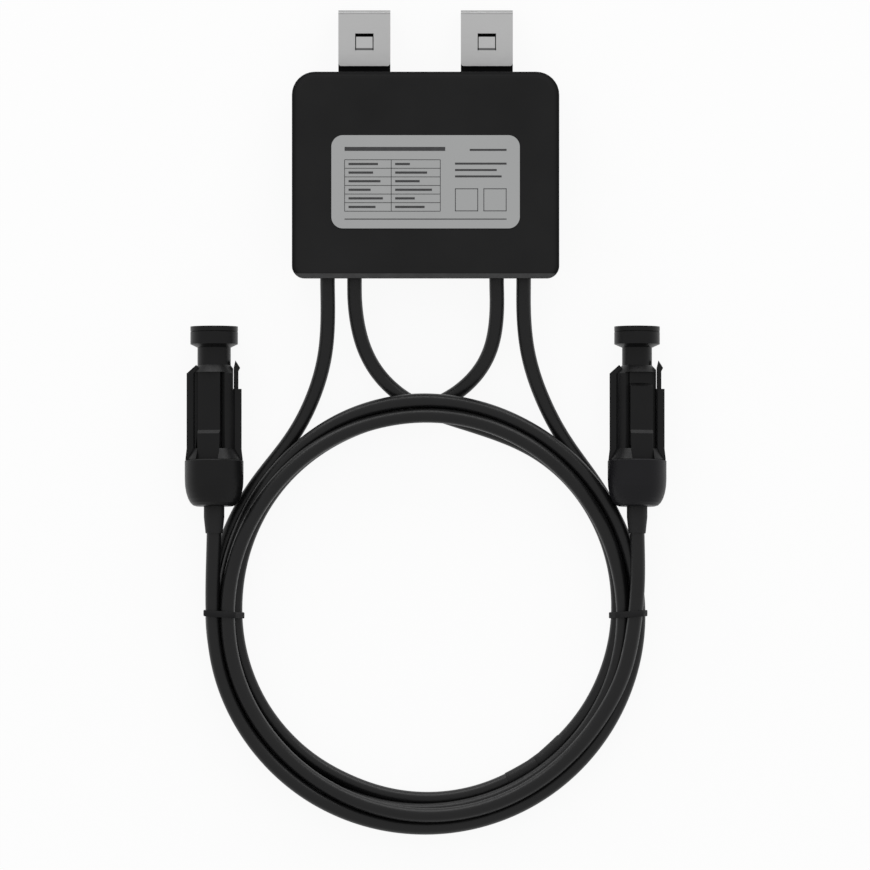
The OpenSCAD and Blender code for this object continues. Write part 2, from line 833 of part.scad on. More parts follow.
// The closed rail on one side and the shorter rail with the barbed latch arm on the other
module side_rails() {
  rail_in = sqrt(barrel_r * barrel_r - rail_w * rail_w / 4) - cut;
  shoulder_w = rail_reach - neck_left_r - cut;
  arm_in = rail_reach - 3.2;
  arm_out = rail_reach - 1.3;
  barb_out = rail_reach - 0.6;
  barb_start = barb_tip - 3;
  barb_step = 1.3;
  tip_w = 0.7;
  arm_w = 5.2;
  rail_form(rail_w, [
    [-rail_in, foot_start], [-foot_r, foot_start], [-rail_reach, foot_end], [-rail_reach, barrel_end],
    [shoulder_w - rail_reach, neck_start], [-rail_in + shoulder_w, barrel_end]
  ]);
  rail_form(rail_w, [
    [rail_in, foot_start], [foot_r, foot_start], [rail_reach, foot_end], [rail_reach, rail_end],
    [rail_in, rail_end]
  ]);
  rail_form(arm_w, [
    [arm_in, rail_end - cut], [arm_out, rail_end - cut], [arm_out, barb_start - barb_step],
    [barb_out, barb_start], [arm_in + tip_w, barb_tip], [arm_in, barb_start]
  ]);
}

// Extrudes a profile of (depth from the axis, place along it) over the panel's width
module panel_form(x, w, profile) {
  translate([x, 0, 0]) rotate([90, 0, 90]) linear_extrude(w) polygon(profile);
}

// The flat panels, their grooves and steps, cut from the barrel's front and back
module panel_cuts(side) {
  panel_end = barrel_end + cut;
  out = nut_r;
  ledge_z = flat_depth - ledge_depth;
  step_z = flat_depth - panel_step_depth;
  groove_z = flat_depth - groove_depth;
  wide = flat_w + 2 * groove_w;
  for (turn = [0, 180]) rotate([0, 0, turn]) {
    panel_form(-flat_w / 2, flat_w, [
      [-out, foot_start - cut], [-flat_depth, foot_start - cut], [-flat_depth, ledge_t],
      [-ledge_z, ledge_t + ledge_slope], [-ledge_z, panel_end], [-out, panel_end]
    ]);
    for (x = [-wide / 2, flat_w / 2]) panel_form(x, groove_w, [
      [-out, foot_end], [-groove_z, foot_end], [-groove_z, panel_end], [-out, panel_end]
    ]);
    if (side > 0) panel_form(-wide / 2, wide, [
      [-out, panel_step_t], [-ledge_z, panel_step_t], [-step_z, panel_step_t + ledge_slope],
      [-step_z, panel_end], [-out, panel_end]
    ]);
  }
}

// The room behind the latch arm that lets it bend in
module arm_room() {
  room_in = rail_reach - 3.45;
  translate([room_in, -barrel_r, rail_end]) cube([barrel_r, 2 * barrel_r, neck_start - rail_end]);
}

module connector_body(side, panel_turn) {
  contact_bore_r = contact_r + contact_wall + 0.4;
  color([0.1, 0.1, 0.1])
  at_connector(side) difference() {
    union() {
      difference() {
        connector_stem(side);
        rotate([0, 0, panel_turn]) panel_cuts(side);
        arm_room();
      }
      side_rails();
    }
    translate([0, 0, spigot_start - cut])
      cylinder(r = cage_r + slip_gap, h = bore_end - spigot_start + cut);
    translate([0, 0, bore_end - cut]) cylinder(r = contact_bore_r, h = mating_start - bore_end + 2 * cut);
    translate([0, 0, mating_start]) cylinder(r = mating_r, h = collar_end - mating_start + cut);
  }
}

module connector_body_left() {
  connector_body(-1, panel_turn_left);
}

module connector_body_right() {
  connector_body(1, panel_turn_right);
}

// A rubber bush round the cable, with a tapered sleeve out of the nut's rear
module seal_bush(side) {
  bore_r = cable_d / 2 + slip_gap;
  rim_r = bore_r + 0.4;
  sleeve_r = bush_r - 0.9;
  sleeve_end = 3.6;
  body_start = 4.6;
  color([0.14, 0.14, 0.15])
  at_connector(side) rotate_extrude() polygon([
    [bore_r, -sleeve_l], [rim_r, -sleeve_l], [sleeve_r, -sleeve_l * 0.4], [sleeve_r, sleeve_end],
    [bush_r, body_start], [bush_r, bush_end], [bore_r, bush_end]
  ]);
}

module seal_bush_left() {
  seal_bush(-1);
}

module seal_bush_right() {
  seal_bush(1);
}

// A slotted cage whose fingers the nut's cone presses on the bush
module clamp_cage(side) {
  finger_start = 5.6;
  ring_start = 10.5;
  slot_w = 1.6;
  inner_r = cage_r - cage_wall;
  tip_r = inner_r + 0.7;
  taper_l = 2.2;
  color([0.2, 0.2, 0.2])
  at_connector(side) difference() {
    rotate_extrude() polygon([
      [inner_r, finger_start], [tip_r, finger_start], [cage_r, finger_start + taper_l],
      [cage_r, bush_end], [inner_r, bush_end]
    ]);
    for (turn = [0, 60, 120]) rotate([0, 0, turn]) translate([-2 * cage_r, -slot_w / 2, finger_start - cut])
      cube([4 * cage_r, slot_w, ring_start - finger_start + cut]);
  }
}

module clamp_cage_left() {
  clamp_cage(-1);
}

module clamp_cage_right() {
  clamp_cage(1);
}

// The crimped rear of a contact, with the shoulder that seats it in the body
module contact_rear() {
  shoulder_start = 30;
  shoulder_t = 2;
  crimp_r = contact_r + contact_wall - 0.4;
  shoulder_r = contact_r + contact_wall + 0.3;
  translate([0, 0, crimp_start]) cylinder(r = crimp_r, h = shoulder_start - crimp_start);
  translate([0, 0, shoulder_start - cut]) cylinder(r = shoulder_r, h = shoulder_t + cut);
}

// The socket contact of the left connector: its bore takes the mating pin
module socket_contact() {
  color([0.8, 0.62, 0.3])
  at_connector(-1) difference() {
    union() {
      contact_rear();
      translate([0, 0, contact_front])
        cylinder(r = contact_r + contact_wall, h = contact_end - contact_front);
    }
    translate([0, 0, contact_end - mating_l]) cylinder(r = contact_r, h = mating_l + cut);
  }
}

// The pin contact of the right connector
module pin_contact() {
  color([0.8, 0.62, 0.3])
  at_connector(1) {
    contact_rear();
    translate([0, 0, contact_front])
      cylinder(r = contact_r + contact_wall, h = contact_end - mating_l - contact_front);
    translate([0, 0, contact_end - mating_l - cut]) cylinder(r = contact_r, h = mating_l + cut);
  }
}

front_shell();
rear_cover();
cover_gasket();
cover_screws();
label_plate();
clip_left();
clip_right();
circuit_board();
board_screws();
inductor_core();
inductor_winding();
input_capacitors();
output_capacitors();
power_transistors();
bypass_diode();
control_chip();
heat_spreader();
thermal_pad();
cable_terminals();
grommet_outer_left();
grommet_inner_left();
grommet_inner_right();
grommet_outer_right();
lead_outer_left();
lead_inner_left();
lead_inner_right();
lead_outer_right();
cable_coil();
tie_left();
tie_right();
tail_left();
tail_right();
gland_nut_left();
gland_nut_right();
connector_body_left();
connector_body_right();
seal_bush_left();
seal_bush_right();
clamp_cage_left();
clamp_cage_right();
socket_contact();
pin_contact();
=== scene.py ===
"""Looks of a solar power optimizer that lies on its back, with its two long leads wound into a coil."""
import math

import bmesh
import bpy
import numpy as np
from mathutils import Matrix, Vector


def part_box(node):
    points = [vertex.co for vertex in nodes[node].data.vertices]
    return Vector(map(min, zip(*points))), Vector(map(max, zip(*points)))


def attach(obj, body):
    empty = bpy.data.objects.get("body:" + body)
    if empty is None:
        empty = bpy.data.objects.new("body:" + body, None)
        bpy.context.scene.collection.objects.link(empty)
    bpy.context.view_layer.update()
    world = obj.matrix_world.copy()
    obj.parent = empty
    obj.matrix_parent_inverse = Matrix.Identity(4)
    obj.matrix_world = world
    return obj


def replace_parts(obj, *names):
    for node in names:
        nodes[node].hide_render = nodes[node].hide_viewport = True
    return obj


MM = 0.001
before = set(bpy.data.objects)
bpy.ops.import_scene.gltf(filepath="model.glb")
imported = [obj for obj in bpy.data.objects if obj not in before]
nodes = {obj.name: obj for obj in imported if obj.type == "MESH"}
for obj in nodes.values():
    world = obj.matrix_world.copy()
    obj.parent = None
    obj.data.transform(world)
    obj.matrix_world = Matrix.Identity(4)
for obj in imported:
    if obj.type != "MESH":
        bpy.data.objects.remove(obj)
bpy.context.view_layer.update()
scene = bpy.context.scene

# Camera: straight above, with a view that is 355 mm wide at 10 mm over the floor
VIEW_WIDTH = 355.1 * MM
VIEW_MIDDLE = (3.84 * MM, -118.6 * MM)
VIEW_PLANE_Z = 10 * MM
LENS_MM = 1200.0
SENSOR_MM = 36.0
CLIP_END = 40.0


def make_camera():
    data = bpy.data.cameras.new("camera")
    data.lens = LENS_MM
    data.sensor_width = SENSOR_MM
    data.clip_end = CLIP_END
    camera = bpy.data.objects.new("camera", data)
    height = VIEW_PLANE_Z + VIEW_WIDTH * LENS_MM / SENSOR_MM
    camera.location = (VIEW_MIDDLE[0], VIEW_MIDDLE[1], height)
    scene.collection.objects.link(camera)
    scene.camera = camera


make_camera()

# Cables, in millimetres: four leads leave the housing, two of them are wound into the coil
CABLE_D = 6.0
CABLE_R = CABLE_D / 2
CABLE_ROUNDNESS = 9
COIL_MIDDLE = np.array([0.0, -191.8])
# Lines: step, samples between two given points, and the radius that softening takes off a turn
STEP = 2.0
SAMPLES = 12
ROUNDING = 0.65
# Settling: smoothing passes in each round, pull back to the lane, push at a contact, rounds between
# two searches for contacts, their reach, and the length in which a cable can't touch itself
STIFFNESS = 4
HOLD = 0.12
PUSH = 1.6
SEARCH_ROUNDS = 30
SEARCH_REACH = 2 * CABLE_D
OWN_REACH = 6 * CABLE_D
NEAR_ZERO = 1e-6
# Stages of softening passes, settling rounds and the fall in each round, and the passes after them
STAGES = ((30, 240, 0.015), (16, 160, 0.0))
LAST_PASSES = 8
# Lengths held at a lead's start and at its end (below 0 where the end is free), and the ramp after them
SOFTEN_HOLD = (10, (22, 22, -20, -20), 20.0)
SETTLE_HOLD = (36, (26, 26, -56, -56), 56.0)
# Ties and end caps: their sizes, and how far they lift the cables off the floor
TIE_W = 2.5
TIE_T = 0.8
TIE_EDGE = 0.3
TIE_SKIN = 0.05
TIE_SIDES = 120
TIE_X = 82.0
TIE_SLANT = 0.06
TIE_LIFT = 0.9
TIE_LIFT_REACH = 24.0
CAP_SIDES = 28
CAP_STEP = 1.0
CAP_LIFT = 0.2
CAP_LIFT_REACH = 18.0
CAP_ANGLE = -53.0
CAP_RADIUS = 75.6

# Leads from the grommets to the coil
ROUTE_OUTER_LEFT = [
    (-40, -47, 14), (-40, -58, 14), (-39.8, -68, 13), (-39.8, -80, 10.5),
    (-41.6, -92.4, 7.5), (-45.8, -103.5, 5.2), (-50.4, -114.6, 4),
]
ROUTE_INNER_LEFT = [
    (-29, -47, 14), (-29, -58, 14), (-28.9, -68, 12.5), (-27.2, -80, 8.5),
    (-22.5, -91.4, 5.6), (-14.4, -100.4, 6),
]
ROUTE_INNER_RIGHT = [
    (29, -47, 14), (29, -58, 14), (29.3, -70, 12.2), (28.4, -82, 8),
    (24.2, -91.8, 4.8), (15.4, -100.6, 3.1),
]
ROUTE_OUTER_RIGHT = [
    (40, -47, 14), (40, -58, 14), (39.9, -68, 13.2), (40.2, -80, 11.5),
    (42.9, -92.4, 9), (47.3, -103.5, 7), (53.2, -116.2, 5.4),
]
# Tails: straight into the gland nuts, along the connectors' axes (side -1 is the left connector).
# A connector leans, because its nut's rim and its collar's rim both rest on the floor.
CONNECTOR_X = 86.3
CONNECTOR_Y = -147.7
NUT_R = 12.0
NUT_END = 18.9
COLLAR_END = 73.4
COLLAR_R = {-1: 9.7, 1: 9.3}
TAIL_START = ((87.0, -178), (86.5, -168))
TAIL_HEIGHTS = {-1: (13, 13.2), 1: (14.2, 14)}
TAIL_ALONG = (-12, 0, 12, 20)


def connector_point(side, t):
    """A point on a connector's axis, t from the rear of its nut."""
    pitch = math.atan((NUT_R - COLLAR_R[side]) / (COLLAR_END - NUT_END))
    rear_z = NUT_END * math.sin(pitch) + NUT_R * math.cos(pitch)
    return (side * CONNECTOR_X, CONNECTOR_Y + t * math.cos(pitch), rear_z - t * math.sin(pitch))


def tail_points(side):
    """The last points of a long lead, from the coil into a connector."""
    start = [(side * x, y, z) for (x, y), z in zip(TAIL_START, TAIL_HEIGHTS[side])]
    return start + [connector_point(side, t) for t in TAIL_ALONG]


# Lanes of the coil: angle from the coil's middle, radius and height of the cable's axis
LANES_OUTER_LEFT = [
    (134, 86.8, 3.6), (155, 86.4, 3), (180, 86.4, 3), (205, 86.2, 3), (228, 83.6, 4.2), (250, 80.4, 7.4),
    (275, 79.8, 7.8), (305, 79.9, 7.8), (330, 80.6, 8), (345, 81, 8.4), (360, 80.9, 9.2), (380, 81.2, 10.4),
    (395, 81.3, 11), (418, 81.3, 12), (436, 81.4, 13.6), (450, 81.5, 14.8), (466, 81.4, 13.5),
    (485, 81.2, 12.4), (510, 81, 12.4), (540, 81, 12.6), (565, 81.1, 14), (588, 81.1, 15), (612, 81.5, 13.6),
    (630, 82, 13), (655, 82.3, 13), (676, 82.3, 13.4), (692, 82.9, 14.4), (704, 84.6, 15.2),
]
LANES_OUTER_RIGHT = [
    (46, 87.7, 4), (25, 86.4, 3), (0, 86.4, 3), (-45, 86.5, 3), (-90, 86.3, 3), (-108, 86.2, 4),
    (-130, 84.8, 9), (-152, 82.5, 7.6), (-165, 82.5, 7.6), (-180, 82.4, 7.6), (-205, 82.7, 7.8),
    (-228, 84.9, 7.5), (-250, 86.6, 10), (-264, 86.6, 13.6), (-280, 86.8, 12.2), (-305, 86.5, 9.6),
    (-325, 86.4, 9), (-360, 86.5, 9), (-405, 86.8, 9.2), (-450, 86.9, 9.2), (-475, 86.9, 11.8),
    (-492, 87, 14.6), (-510, 87.1, 14), (-528, 86.9, 13.2),
]
LANES_INNER_LEFT = [
    (93, 84, 8.6), (86, 80.7, 9.2), (78, 79.2, 7.6), (71, 78.7, 5.6), (63, 79.7, 3.8), (54, 80.6, 3),
    (42, 80.8, 3), (32, 80.5, 3), (22, 80, 3), (0, 78.9, 3), (-25, 77.4, 3), (-40, 76.5, 3.2),
    (-51.7, 76.2, 3.2),
]
LANES_INNER_RIGHT = [
    (87, 84, 3), (94, 82.2, 3), (104, 81.3, 3), (120, 80.8, 3), (135, 80.4, 3), (150, 79.6, 3),
    (165, 78.8, 3), (180, 78.2, 3), (200, 77.2, 3), (225, 76.3, 3), (250, 76, 3), (270, 76, 3),
    (296, 76.2, 3.2), (305.7, 76.2, 3.2),
]


def lane_points(lanes):
    """Points on the coil for a list of lane keys, with the radius that the softening takes off added."""
    points = []
    for angle, radius, height in lanes:
        a = math.radians(angle)
        r = radius + ROUNDING
        points.append((COIL_MIDDLE[0] + r * math.cos(a), COIL_MIDDLE[1] + r * math.sin(a), height))
    return points


def fill_lanes(lanes, most_degrees=7.0):
    """The lane keys with eased keys between them, close enough for round turns."""
    filled = []
    for (a0, r0, z0), (a1, r1, z1) in zip(lanes, lanes[1:]):
        count = max(1, math.ceil(abs(a1 - a0) / most_degrees))
        for k in range(count):
            t = k / count
            ease = t * t * (3 - 2 * t)
            filled.append((a0 + (a1 - a0) * t, r0 + (r1 - r0) * ease, z0 + (z1 - z0) * ease))
    filled.append(lanes[-1])
    return filled


def smooth_line(points, step=STEP):
    """A curve through the points (centripetal, so it never overshoots), in even steps."""
    p = np.array(points, float)
    p = np.vstack([2 * p[0] - p[1], p, 2 * p[-1] - p[-2]])
    out = []
    for i in range(1, len(p) - 2):
        p0, p1, p2, p3 = p[i - 1:i + 3]
        t0 = 0.0
        t1 = t0 + math.sqrt(np.linalg.norm(p1 - p0))
        t2 = t1 + math.sqrt(np.linalg.norm(p2 - p1))
        t3 = t2 + math.sqrt(np.linalg.norm(p3 - p2))
        for t in np.linspace(t1, t2, SAMPLES, endpoint=False):
            a1 = (t1 - t) / (t1 - t0) * p0 + (t - t0) / (t1 - t0) * p1
            a2 = (t2 - t) / (t2 - t1) * p1 + (t - t1) / (t2 - t1) * p2
            a3 = (t3 - t) / (t3 - t2) * p2 + (t - t2) / (t3 - t2) * p3
            b1 = (t2 - t) / (t2 - t0) * a1 + (t - t0) / (t2 - t0) * a2
            b2 = (t3 - t) / (t3 - t1) * a2 + (t - t1) / (t3 - t1) * a3
            out.append((t2 - t) / (t2 - t1) * b1 + (t - t1) / (t2 - t1) * b2)
    out.append(p[-2])
    return even_steps(np.array(out), step)


def even_steps(line, step):
    lengths = np.concatenate([[0.0], np.cumsum(np.linalg.norm(np.diff(line, axis=0), axis=1))])
    count = max(2, int(round(lengths[-1] / step)) + 1)
    at = np.linspace(0.0, lengths[-1], count)
    return np.column_stack([np.interp(at, lengths, line[:, k]) for k in range(3)])


def touching_pairs(p, owner, index, reach):
    """Index pairs of points that lie close together and aren't neighbours on one cable."""
    first, second = [], []
    for i in range(len(p) - 1):
        rest = p[i + 1:]
        close = np.abs(rest - p[i]).max(axis=1) < reach
        same = (owner[i + 1:] == owner[i]) & ((index[i + 1:] - index[i]) * STEP < OWN_REACH)
        found = np.nonzero(close & ~same)[0] + i + 1
        first.append(np.full(len(found), i))
        second.append(found)
    return np.concatenate(first), np.concatenate(second)


def settle(lines, free, rounds, fall):
    """Lets the cables settle: they keep a diameter apart, sink to the floor and stay smooth.

    free holds a weight for each point, and a point of weight 0 stays where it is."""
    sizes = [len(line) for line in lines]
    owner = np.repeat(np.arange(len(lines)), sizes)
    index = np.concatenate([np.arange(n) for n in sizes])
    starts = np.concatenate([[0], np.cumsum(sizes)])
    home = np.vstack(lines)
    weight = np.concatenate(free)[:, None]
    shift = np.zeros_like(home)
    floor = CABLE_R + TIE_LIFT * np.exp(-((home[:, 1] - COIL_MIDDLE[1]) / TIE_LIFT_REACH) ** 2)
    cap_place = np.array(lane_points([(CAP_ANGLE, CAP_RADIUS, CABLE_R)]))
    floor += CAP_LIFT * np.exp(-(np.linalg.norm(home - cap_place, axis=1) / CAP_LIFT_REACH) ** 4)
    for turn in range(rounds):
        p = home + shift
        if turn % SEARCH_ROUNDS == 0:
            i, j = touching_pairs(p, owner, index, SEARCH_REACH)
        gap = p[i] - p[j]
        far = np.linalg.norm(gap, axis=1) + NEAR_ZERO
        short = np.maximum(0.0, CABLE_D - far)
        move = gap * (0.5 * short / far)[:, None]
        hits = (short > 0).astype(float)
        count = np.bincount(i, hits, len(p)) + np.bincount(j, hits, len(p))
        for axis in range(3):
            total = np.bincount(i, move[:, axis], len(p)) - np.bincount(j, move[:, axis], len(p))
            shift[:, axis] += weight[:, 0] * total * PUSH / np.maximum(1.0, count)
        settling = 1.0 - turn / rounds
        shift[:, 2] -= fall * settling * weight[:, 0]
        shift[:, :2] *= 1.0 - HOLD * settling
        for a, b in zip(starts, starts[1:]):
            part = shift[a:b]
            for _ in range(STIFFNESS):
                part[1:-1] += 0.5 * weight[a + 1:b - 1] * (0.5 * (part[:-2] + part[2:]) - part[1:-1])
        shift[:, 2] = np.maximum(shift[:, 2], floor - home[:, 2])
    p = home + shift
    return [p[a:b] for a, b in zip(starts, starts[1:])]


def soften(lines, free, passes):
    """Rounds off the lines' kinks, and a point of weight 0 stays where it is."""
    out = []
    for line, weight in zip(lines, free):
        p = line.copy()
        for _ in range(passes):
            p[1:-1] += 0.5 * weight[1:-1, None] * (0.5 * (p[:-2] + p[2:]) - p[1:-1])
        out.append(p)
    return out


def free_weights(line, held_start, held_end, ramp):
    """Weights for settle and soften: held over a length at each end, and free after a soft ramp."""
    at = np.arange(len(line)) * STEP
    from_start = np.clip((at - held_start) / ramp, 0.0, 1.0)
    from_end = np.clip((at[-1] - at - held_end) / ramp, 0.0, 1.0)
    t = np.minimum(from_start, from_end)
    return t * t * (3 - 2 * t)


def end_weights(lines, held_start, held_ends, ramp):
    return [free_weights(line, held_start, end, ramp) for line, end in zip(lines, held_ends)]


def cable_lines():
    """The settled axes of the four cables: both outer leads with their tails, then both inner leads."""
    routes = [
        ROUTE_OUTER_LEFT + lane_points(fill_lanes(LANES_OUTER_LEFT)) + tail_points(1),
        ROUTE_OUTER_RIGHT + lane_points(fill_lanes(LANES_OUTER_RIGHT)) + tail_points(-1),
        ROUTE_INNER_LEFT + lane_points(fill_lanes(LANES_INNER_LEFT)),
        ROUTE_INNER_RIGHT + lane_points(fill_lanes(LANES_INNER_RIGHT)),
    ]
    lines = [smooth_line(route) for route in routes]
    rounded = end_weights(lines, *SOFTEN_HOLD)
    free = end_weights(lines, *SETTLE_HOLD)
    for passes, rounds, fall in STAGES:
        lines = soften(lines, rounded, passes)
        lines = settle(lines, free, rounds, fall)
    return soften(lines, rounded, LAST_PASSES)


LINES = dict(zip(("outer_left", "outer_right", "inner_left", "inner_right"), cable_lines()))


# Materials: a noise's usual range, its detail in patches and in the grain, and the swing in roughness
NOISE_LOW, NOISE_HIGH = 0.3, 0.7
PATCH_DETAIL = 3.0
GRAIN_DETAIL = 2.0
ROUGH_SWING = 0.05


def shade(colour, factor):
    return (colour[0] * factor, colour[1] * factor, colour[2] * factor, 1.0)


def noise(tree, vector, scale, detail):
    node = tree.nodes.new("ShaderNodeTexNoise")
    node.inputs["Scale"].default_value = scale
    node.inputs["Detail"].default_value = detail
    tree.links.new(vector, node.inputs["Vector"])
    return node.outputs["Fac"]


def spread(tree, value, low, high):
    """Spreads a noise from its usual range to a new one."""
    node = tree.nodes.new("ShaderNodeMapRange")
    node.inputs["From Min"].default_value = NOISE_LOW
    node.inputs["From Max"].default_value = NOISE_HIGH
    node.inputs["To Min"].default_value = low
    node.inputs["To Max"].default_value = high
    tree.links.new(value, node.inputs["Value"])
    return node.outputs["Result"]


def mix_colour(tree, factor, first, second):
    node = tree.nodes.new("ShaderNodeMix")
    node.data_type = "RGBA"
    tree.links.new(factor, node.inputs[0])
    for socket, colour in ((node.inputs[6], first), (node.inputs[7], second)):
        if isinstance(colour, tuple):
            socket.default_value = colour
        else:
            tree.links.new(colour, socket)
    return node.outputs[2]


def finish(name, colour, rough, metal=0.0, specular=0.5, vary=0.15, patch=70.0, grain=1600.0, bump=0.15,
           depth=0.03, stretch=(1, 1, 1)):
    """A procedural finish: soft patches of colour and roughness, and a fine grain as bump (depth in mm)."""
    material = bpy.data.materials.new(name)
    material.use_nodes = True
    tree = material.node_tree
    shader = tree.nodes["Principled BSDF"]
    shader.inputs["Metallic"].default_value = metal
    shader.inputs["Specular IOR Level"].default_value = specular
    coords = tree.nodes.new("ShaderNodeTexCoord")
    mapping = tree.nodes.new("ShaderNodeMapping")
    mapping.inputs["Scale"].default_value = stretch
    tree.links.new(coords.outputs["Object"], mapping.inputs["Vector"])
    vector = mapping.outputs["Vector"]
    patches = noise(tree, vector, patch, PATCH_DETAIL)
    fine = noise(tree, vector, grain, GRAIN_DETAIL)
    base = mix_colour(tree, patches, shade(colour, 1 - vary), shade(colour, 1 + vary))
    tree.links.new(base, shader.inputs["Base Color"])
    swing = spread(tree, fine, rough - ROUGH_SWING, rough + ROUGH_SWING)
    tree.links.new(swing, shader.inputs["Roughness"])
    bumps = tree.nodes.new("ShaderNodeBump")
    bumps.inputs["Strength"].default_value = bump
    bumps.inputs["Distance"].default_value = depth * MM
    tree.links.new(fine, bumps.inputs["Height"])
    tree.links.new(bumps.outputs["Normal"], shader.inputs["Normal"])
    return material


def banded(material, scale, axis, depth, strength):
    """Adds even bands to a finish's bump, such as a winding's turns."""
    tree = material.node_tree
    shader = tree.nodes["Principled BSDF"]
    coords = tree.nodes.new("ShaderNodeTexCoord")
    wave = tree.nodes.new("ShaderNodeTexWave")
    wave.bands_direction = axis
    wave.inputs["Scale"].default_value = scale
    wave.inputs["Distortion"].default_value = 0.0
    tree.links.new(coords.outputs["Object"], wave.inputs["Vector"])
    bumps = tree.nodes.new("ShaderNodeBump")
    bumps.inputs["Strength"].default_value = strength
    bumps.inputs["Distance"].default_value = depth * MM
    tree.links.new(wave.outputs["Fac"], bumps.inputs["Height"])
    tree.links.new(shader.inputs["Normal"].links[0].from_socket, bumps.inputs["Normal"])
    tree.links.new(bumps.outputs["Normal"], shader.inputs["Normal"])


def paint_light_and_shade(material, ramps, colour, least=1.0, patch=220.0):
    """Adds painted light and shade to a finish as another tone, where all ramps of (axis, none at, full at)
    are up.

    Ramps are in millimetres, X is taken both ways, and least is the tone's share in its weakest patches."""
    tree = material.node_tree
    shader = tree.nodes["Principled BSDF"]
    coords = tree.nodes.new("ShaderNodeTexCoord")
    split = tree.nodes.new("ShaderNodeSeparateXYZ")
    tree.links.new(coords.outputs["Object"], split.inputs[0])
    share = spread(tree, noise(tree, coords.outputs["Object"], patch, PATCH_DETAIL), least, 1.0)
    for axis, none_at, full_at in ramps:
        place = split.outputs[axis]
        if axis == "X":
            both = tree.nodes.new("ShaderNodeMath")
            both.operation = "ABSOLUTE"
            tree.links.new(place, both.inputs[0])
            place = both.outputs[0]
        ramp = tree.nodes.new("ShaderNodeMapRange")
        ramp.inputs["From Min"].default_value = none_at * MM
        ramp.inputs["From Max"].default_value = full_at * MM
        tree.links.new(place, ramp.inputs["Value"])
        product = tree.nodes.new("ShaderNodeMath")
        product.operation = "MULTIPLY"
        tree.links.new(share, product.inputs[0])
        tree.links.new(ramp.outputs["Result"], product.inputs[1])
        share = product.outputs[0]
    plain = shader.inputs["Base Color"].links[0].from_socket
    tree.links.new(mix_colour(tree, share, plain, colour), shader.inputs["Base Color"])


def traced(material, run_colour, scale=90.0, run_width=0.03):
    """Adds a board's copper runs to a finish: cell edges in a lighter green."""
    tree = material.node_tree
    shader = tree.nodes["Principled BSDF"]
    coords = tree.nodes.new("ShaderNodeTexCoord")
    bricks = tree.nodes.new("ShaderNodeTexBrick")
    bricks.inputs["Scale"].default_value = scale
    bricks.inputs["Mortar Size"].default_value = run_width
    bricks.inputs["Color1"].default_value = (0, 0, 0, 1)
    bricks.inputs["Color2"].default_value = (0.25, 0.25, 0.25, 1)
    bricks.inputs["Mortar"].default_value = (1, 1, 1, 1)
    tree.links.new(coords.outputs["Object"], bricks.inputs["Vector"])
    plain = shader.inputs["Base Color"].links[0].from_socket
    tree.links.new(mix_colour(tree, bricks.outputs["Color"], plain, run_colour), shader.inputs["Base Color"])


# The housing gets painted shade on its sides and a painted highlight on the bevel on the cable side
HOUSING = finish("housing_plastic", (0.0175, 0.0175, 0.0177), 0.6, specular=0.03, vary=0.2, patch=35,
                 bump=0.2)
# painted shade: darker below the face's top edge, on the rounded edges and sides
paint_light_and_shade(HOUSING, [("Z", 27.7, 26.8)], (0.006, 0.006, 0.0062, 1.0))
# painted highlight: lighter in patches on the bevel along the cable side
paint_light_and_shade(HOUSING, [("Y", -52.6, -52.9), ("Z", 25.5, 25.8)], (0.08, 0.08, 0.081, 1.0), 0.75)
CABLE = finish("cable_jacket", (0.0055, 0.0055, 0.0058), 0.36, specular=0.3, vary=0.3, patch=55, grain=900,
               bump=0.1)
CONNECTOR = finish("connector_plastic", (0.0045, 0.0045, 0.0048), 0.36, specular=0.2, vary=0.25, patch=90,
                   bump=0.12)
NUT_GREY = finish("nut_plastic", (0.006, 0.0058, 0.0072), 0.42, specular=0.2, vary=0.2, patch=90, bump=0.12)
TIE = finish("tie_nylon", (0.018, 0.018, 0.0184), 0.6, specular=0.03, vary=0.2, patch=150, grain=1200)
CAP = finish("cap_rubber", (0.0055, 0.0055, 0.0057), 0.5, specular=0.28, vary=0.2, patch=150, grain=1100,
             bump=0.25)
RUBBER = finish("seal_rubber", (0.008, 0.008, 0.0085), 0.6, specular=0.3, vary=0.2, patch=140, grain=1100,
                bump=0.25)
GASKET = finish("gasket_rubber", (0.05, 0.05, 0.055), 0.65, specular=0.3, vary=0.2, patch=140, grain=1100,
                bump=0.25)
# The clips get painted shade on the fold, which dims its highlight, and a painted shadow in the crease at
# the tongue's root
CLIP = finish("clip_steel", (0.58, 0.58, 0.58), 0.42, metal=1.0, vary=0.05, patch=60, grain=900, bump=0.06,
              stretch=(0.25, 1, 1))
# painted shade: the fold along the clip's top is darker
paint_light_and_shade(CLIP, [("Y", 53.0, 53.7)], (0.24, 0.24, 0.24, 1.0))
# painted shadow: a dark line along the tongue's root
paint_light_and_shade(CLIP, [("X", 21.1, 21.3), ("X", 28.9, 28.7), ("Y", 38.3, 38.7), ("Y", 39.5, 39.1)],
       (0.1, 0.1, 0.1, 1.0))
SCREW = finish("screw_steel", (0.6, 0.6, 0.61), 0.3, metal=1.0, vary=0.08, patch=300, grain=2500, bump=0.1)
LABEL = finish("label_film", (0.365, 0.37, 0.37), 0.45, specular=0.3, vary=0.045, patch=22, grain=1800,
               bump=0.05, stretch=(1, 0.4, 1))
INK = finish("label_ink", (0.045, 0.045, 0.047), 0.55, specular=0.3, vary=0.3, patch=400, grain=2500,
             bump=0.1)
BOARD = finish("board_mask", (0.02, 0.16, 0.07), 0.3, vary=0.2, patch=120, bump=0.05)
traced(BOARD, (0.05, 0.3, 0.13, 1.0))
FERRITE = finish("ferrite", (0.045, 0.045, 0.05), 0.5, vary=0.3, patch=300, grain=2200, bump=0.3)
COPPER = finish("copper_wire", (0.75, 0.34, 0.15), 0.3, metal=1.0, vary=0.12, patch=200)
